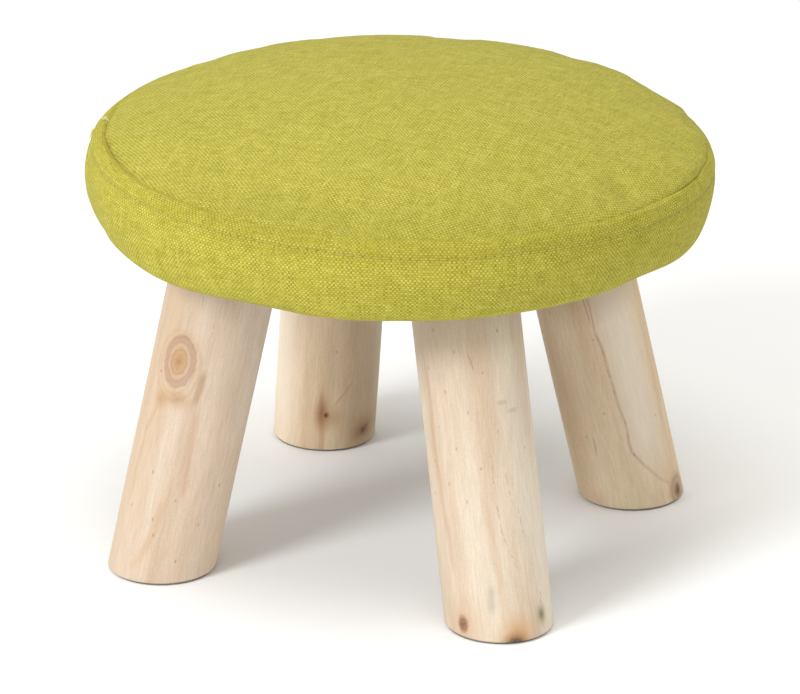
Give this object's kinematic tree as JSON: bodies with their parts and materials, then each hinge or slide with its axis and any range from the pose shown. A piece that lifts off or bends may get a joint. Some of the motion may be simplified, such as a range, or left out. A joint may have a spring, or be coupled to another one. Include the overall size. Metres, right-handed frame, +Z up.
{
  "type": "upholstered footstool",
  "caption": "Small round footstool with a padded seat in a sewn woven cover and splayed round pine log legs that screw on.",
  "frame": {"origin": "on the floor, under the middle of the seat", "axes": "+Z up; the legs stand on the diagonals between X and Y; front is -Y"},
  "size_m": [0.2798, 0.2798, 0.21],
  "materials": {
    "cover_linen": "lime-green linen-look plain weave, matt",
    "pine": "peeled and sanded pine with knots, clear matt finish",
    "plywood": "raw birch plywood",
    "foam": "open-cell upholstery foam",
    "non_woven": "black spun-bonded cloth",
    "zinc_steel": "bright zinc plating",
    "staple_wire": "galvanised flat wire",
    "pad_rubber": "thin dark anti-slip sheet"
  },
  "bodies": {
    "root": {"seat_board": "plywood", "foam_pad": "foam", "cover_top_panel": "cover_linen", "cover_side_band": "cover_linen", "dust_cover": "non_woven", "leg_front_left": "pine", "foot_pad_front_left": "pad_rubber", "hanger_bolt_front_left": "zinc_steel", "t_nut_front_left": "zinc_steel", "leg_front_right": "pine", "foot_pad_front_right": "pad_rubber", "hanger_bolt_front_right": "zinc_steel", "t_nut_front_right": "zinc_steel", "leg_back_right": "pine", "foot_pad_back_right": "pad_rubber", "hanger_bolt_back_right": "zinc_steel", "t_nut_back_right": "zinc_steel", "leg_back_left": "pine", "foot_pad_back_left": "pad_rubber", "hanger_bolt_back_left": "zinc_steel", "t_nut_back_left": "zinc_steel", "hem_staple_01": "staple_wire", "hem_staple_02": "staple_wire", "hem_staple_03": "staple_wire", "hem_staple_04": "staple_wire", "hem_staple_05": "staple_wire", "hem_staple_06": "staple_wire", "hem_staple_07": "staple_wire", "hem_staple_08": "staple_wire", "dust_staple_01": "staple_wire", "dust_staple_02": "staple_wire", "dust_staple_03": "staple_wire", "dust_staple_04": "staple_wire", "dust_staple_05": "staple_wire", "dust_staple_06": "staple_wire", "dust_staple_07": "staple_wire", "dust_staple_08": "staple_wire"}
  },
  "joints": []
}
